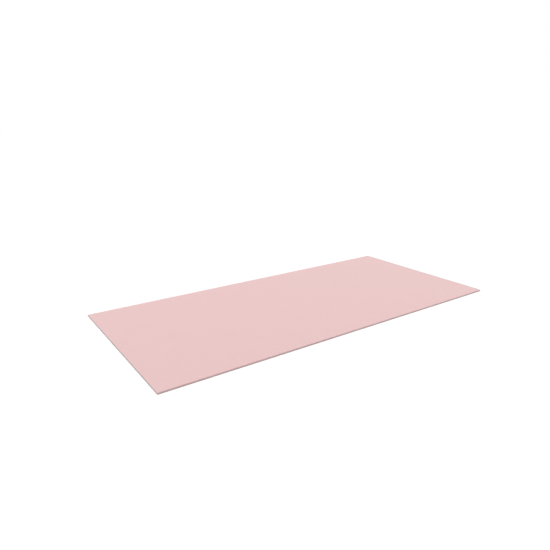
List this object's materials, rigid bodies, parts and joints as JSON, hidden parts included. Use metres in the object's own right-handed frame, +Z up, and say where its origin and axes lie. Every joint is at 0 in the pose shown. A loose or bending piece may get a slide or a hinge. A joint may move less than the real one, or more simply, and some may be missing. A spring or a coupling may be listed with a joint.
{
  "type": "drywall sheet",
  "caption": "Flat paper-faced gypsum drywall sheet with tapered, paper-bound long edges and square-cut ends that show the bare core, for lining walls and ceilings.",
  "frame": {"origin": "under the middle of the sheet, on the surface that its back lies on", "axes": "+X along the length between the cut ends, +Y across the width between the paper-bound long edges, +Z up through the thickness, out of the tapered face"},
  "size_m": [2.6, 1.2, 0.0125],
  "materials": {
    "core": "matte, fine-grained set gypsum, saw cut",
    "face_paper": "matte pink paper with a fine fibre",
    "back_paper": "matte grey-buff recycled paper"
  },
  "bodies": {
    "root": {"gypsum_core": "core", "face_paper": "face_paper", "back_paper": "back_paper"}
  },
  "joints": []
}
